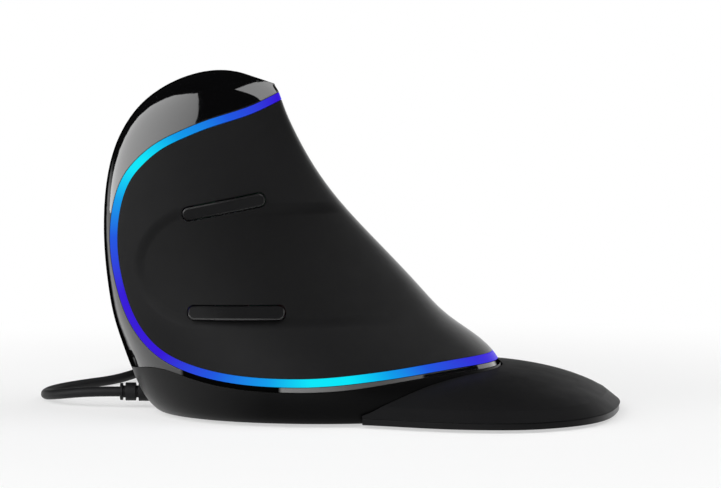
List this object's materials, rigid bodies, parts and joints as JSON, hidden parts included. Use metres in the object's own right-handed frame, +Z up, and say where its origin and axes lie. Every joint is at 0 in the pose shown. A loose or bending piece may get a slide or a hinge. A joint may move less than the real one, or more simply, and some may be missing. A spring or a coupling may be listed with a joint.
{
  "type": "ergonomic mouse",
  "caption": "Upright right-hand computer mouse with a light strip, thumb buttons, keys and a wheel on its sloping side, a detachable palm rest and a corded plug.",
  "frame": {"origin": "on the desk under the middle of the object's length, on the plane the glides rest on", "axes": "+X from the nose, where the cord leaves, to the palm rest; the thumb's side faces -Y and the fingers' side +Y; +Z up"},
  "size_m": [0.1392, 0.1331, 0.0802],
  "materials": {
    "soft_touch_black": "soft-touch matte",
    "piano_black": "polished",
    "key_black": "satin",
    "base_black": "fine texture",
    "light_guide": "frosted, lit from inside",
    "button_black": "polished",
    "wheel_rubber": "matte",
    "wheel_core": "translucent",
    "inner_plastic": "plain",
    "board_green": "solder mask",
    "chip_black": "moulded",
    "connector_white": "plain",
    "ribbon_grey": "plain",
    "steel": "zinc plated",
    "lens_clear": "clear",
    "lamp_red": "clear, tinted",
    "lamp_white": "plain",
    "cord_black": "matte",
    "glide_ptfe": "smooth",
    "magnet": "nickel plated"
  },
  "bodies": {
    "casing": {"thumb_shell": "soft_touch_black", "ridge_cover": "piano_black", "palm_shell": "soft_touch_black", "light_strip": "light_guide", "wheel_bridge": "piano_black", "key_chassis": "inner_plastic", "hinge_pins": "steel", "key_board": "board_green", "index_switch": "chip_black", "middle_switch": "chip_black", "wheel_switch": "chip_black", "dpi_switch": "chip_black", "thumb_board": "board_green", "forward_switch": "chip_black", "back_switch": "chip_black", "base_shell": "base_black", "main_board": "board_green", "board_screws": "steel", "casing_screws": "steel", "sensor_lens": "lens_clear", "sensor_chip": "chip_black", "sensor_lamp": "lamp_red", "controller_chip": "chip_black", "lamp_board": "board_green", "strip_lamps": "lamp_white", "board_connectors": "connector_white", "ribbons": "ribbon_grey", "inner_lead": "cord_black", "strain_relief": "cord_black", "usb_lead": "cord_black", "usb_coil": "cord_black", "usb_tail": "cord_black", "cord_tie": "cord_black", "plug_body": "base_black", "plug_shell": "steel", "plug_insert": "connector_white", "base_glides": "glide_ptfe", "base_magnet": "magnet"},
    "index_key": {"index_key": "key_black"},
    "index_plunger": {"index_plunger": "connector_white"},
    "middle_key": {"middle_key": "key_black"},
    "middle_plunger": {"middle_plunger": "connector_white"},
    "wheel_carrier": {"wheel_carrier": "inner_plastic", "encoder_body": "chip_black", "wheel_plunger": "inner_plastic"},
    "scroll_wheel": {"wheel_hub": "wheel_core", "wheel_tyre": "wheel_rubber", "encoder_rotor": "connector_white"},
    "dpi_button": {"dpi_button": "button_black", "dpi_plunger": "inner_plastic"},
    "forward_button": {"forward_button": "button_black", "forward_plunger": "inner_plastic"},
    "back_button": {"back_button": "button_black", "back_plunger": "inner_plastic"},
    "palm_rest": {"palm_rest_cover": "soft_touch_black", "palm_rest_plinth": "piano_black", "rest_screws": "steel", "rest_glides": "glide_ptfe", "rest_magnet": "magnet"}
  },
  "joints": [
    {"name": "index_key_press", "type": "hinge", "parent": "casing", "child": "index_key", "pos_m": [-0.02245, 0.00347, 0.05652], "axis": [0.171, -0.4698, 0.866], "range_deg": [0, 1.6], "stiffness_Nm_per_rad": 0.35},
    {"name": "index_plunger_travel", "type": "slide", "parent": "casing", "child": "index_plunger", "axis": [0.2962, -0.8138, -0.5], "range_m": [0, 0.00046]},
    {"name": "middle_key_press", "type": "hinge", "parent": "casing", "child": "middle_key", "pos_m": [-0.01955, 0.01889, 0.03314], "axis": [0.171, -0.4698, 0.866], "range_deg": [0, 1.4], "stiffness_Nm_per_rad": 0.4},
    {"name": "middle_plunger_travel", "type": "slide", "parent": "casing", "child": "middle_plunger", "axis": [0.2962, -0.8138, -0.5], "range_m": [0, 0.00046]},
    {"name": "wheel_press", "type": "hinge", "parent": "casing", "child": "wheel_carrier", "pos_m": [-0.02087, 0.00938, 0.04383], "axis": [0.171, -0.4698, 0.866], "range_deg": [0, 2], "stiffness_Nm_per_rad": 0.6},
    {"name": "wheel_spin", "type": "hinge", "parent": "wheel_carrier", "child": "scroll_wheel", "pos_m": [-0.03548, 0.00711, 0.04548], "axis": [0.171, -0.4698, 0.866], "continuous": true},
    {"name": "dpi_button_press", "type": "slide", "parent": "casing", "child": "dpi_button", "axis": [0.2962, -0.8138, -0.5], "range_m": [0, 0.0003], "stiffness_N_per_m": 400, "springref_m": -0.0003},
    {"name": "forward_button_press", "type": "slide", "parent": "casing", "child": "forward_button", "axis": [0, 1, 0], "range_m": [0, 0.0004], "stiffness_N_per_m": 400, "springref_m": -0.0003},
    {"name": "back_button_press", "type": "slide", "parent": "casing", "child": "back_button", "axis": [0, 1, 0], "range_m": [0, 0.0004], "stiffness_N_per_m": 400, "springref_m": -0.0003},
    {"name": "palm_rest_pull", "type": "slide", "parent": "casing", "child": "palm_rest", "axis": [1, 0, 0], "range_m": [0, 0.03]}
  ],
  "couplings": [
    {"joint": "index_plunger_travel", "follows": "index_key_press", "m_per_rad": 0.0162},
    {"joint": "middle_plunger_travel", "follows": "middle_key_press", "m_per_rad": 0.0182}
  ]
}
